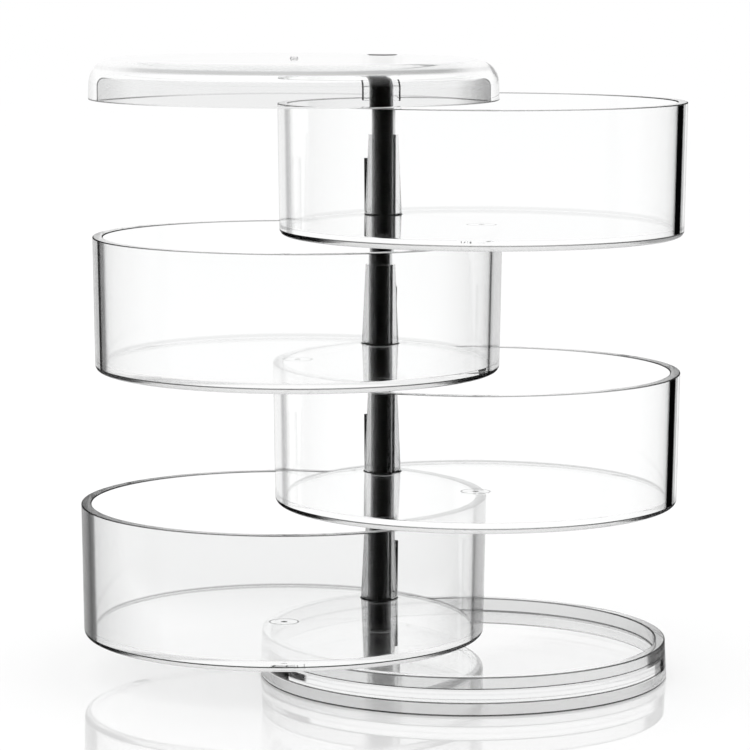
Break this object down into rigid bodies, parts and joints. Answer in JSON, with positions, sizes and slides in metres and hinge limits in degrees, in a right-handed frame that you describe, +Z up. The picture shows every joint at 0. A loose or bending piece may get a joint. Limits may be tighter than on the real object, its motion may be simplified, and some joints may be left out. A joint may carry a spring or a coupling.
{
  "type": "rotating jewelry box",
  "caption": "Stack of clear round trays with a lid and a shallow base, each swinging by itself on one off-centre post.",
  "frame": {"origin": "on the post's axis, at the plane that the base stands on", "axes": "+Z up along the post, -Y towards the viewer of the picture, so the trays fan out towards -Y"},
  "size_m": [0.1483, 0.103, 0.1515],
  "materials": {
    "clear_acrylic": "clear moulded acrylic, polished",
    "dark_steel": "dark, polished"
  },
  "bodies": {
    "stand": {"base": "clear_acrylic", "post": "dark_steel", "post_cap": "dark_steel"},
    "tray_1": {"tray_1": "clear_acrylic"},
    "tray_2": {"tray_2": "clear_acrylic"},
    "tray_3": {"tray_3": "clear_acrylic"},
    "tray_4": {"tray_4": "clear_acrylic"},
    "lid": {"lid": "clear_acrylic"}
  },
  "joints": [
    {"name": "tray_1_swivel", "type": "hinge", "parent": "stand", "child": "tray_1", "pos_m": [0, 0, 0], "axis": [0, 0, 1], "continuous": true},
    {"name": "tray_2_swivel", "type": "hinge", "parent": "stand", "child": "tray_2", "pos_m": [0, 0, 0], "axis": [0, 0, 1], "continuous": true},
    {"name": "tray_3_swivel", "type": "hinge", "parent": "stand", "child": "tray_3", "pos_m": [0, 0, 0], "axis": [0, 0, 1], "continuous": true},
    {"name": "tray_4_swivel", "type": "hinge", "parent": "stand", "child": "tray_4", "pos_m": [0, 0, 0], "axis": [0, 0, 1], "continuous": true},
    {"name": "lid_swivel", "type": "hinge", "parent": "stand", "child": "lid", "pos_m": [0, 0, 0], "axis": [0, 0, 1], "continuous": true}
  ]
}
